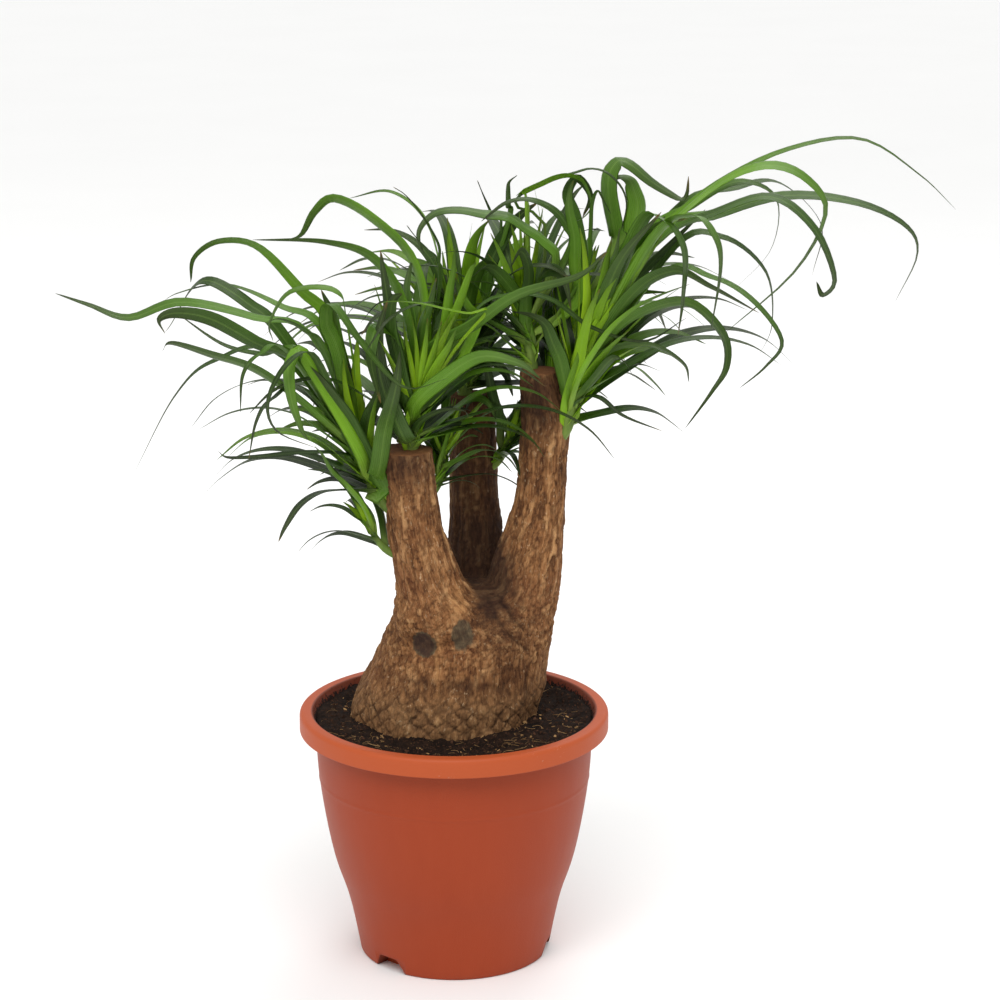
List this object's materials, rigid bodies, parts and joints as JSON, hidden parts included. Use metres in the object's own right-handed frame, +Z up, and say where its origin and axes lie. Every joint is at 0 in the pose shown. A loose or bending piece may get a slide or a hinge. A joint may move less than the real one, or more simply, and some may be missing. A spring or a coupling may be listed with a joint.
{
  "type": "potted ponytail palm",
  "caption": "Ponytail palm with a swollen woody base, sawn-off stems and tufts of arching strap leaves, in peat soil in a round tapering plastic flower pot.",
  "frame": {"origin": "middle of the pot's flat underside, on the surface it stands on", "axes": "+Z up along the pot's axis; -Y towards the front, the side the picture shows; +X to the right seen from the front, where the longest leaves reach"},
  "size_m": [0.6754, 0.3746, 0.64],
  "materials": {
    "pot": "terracotta-coloured injection-moulded plastic, satin, with fine scuffs and a little dust",
    "soil": null,
    "bark": "brown fibrous bark, cracked into corky plates low on the swollen base",
    "leaf": null
  },
  "bodies": {
    "root": {"pot": "pot", "soil": "soil", "trunk": "bark", "shoot_left_top": "leaf", "shoot_left_side": "leaf", "shoot_left_low": "leaf", "shoot_left_back": "leaf", "shoot_middle_top": "leaf", "shoot_middle_side": "leaf", "shoot_right_front": "leaf", "shoot_right_back": "leaf", "shoot_right_top": "leaf"}
  },
  "joints": []
}
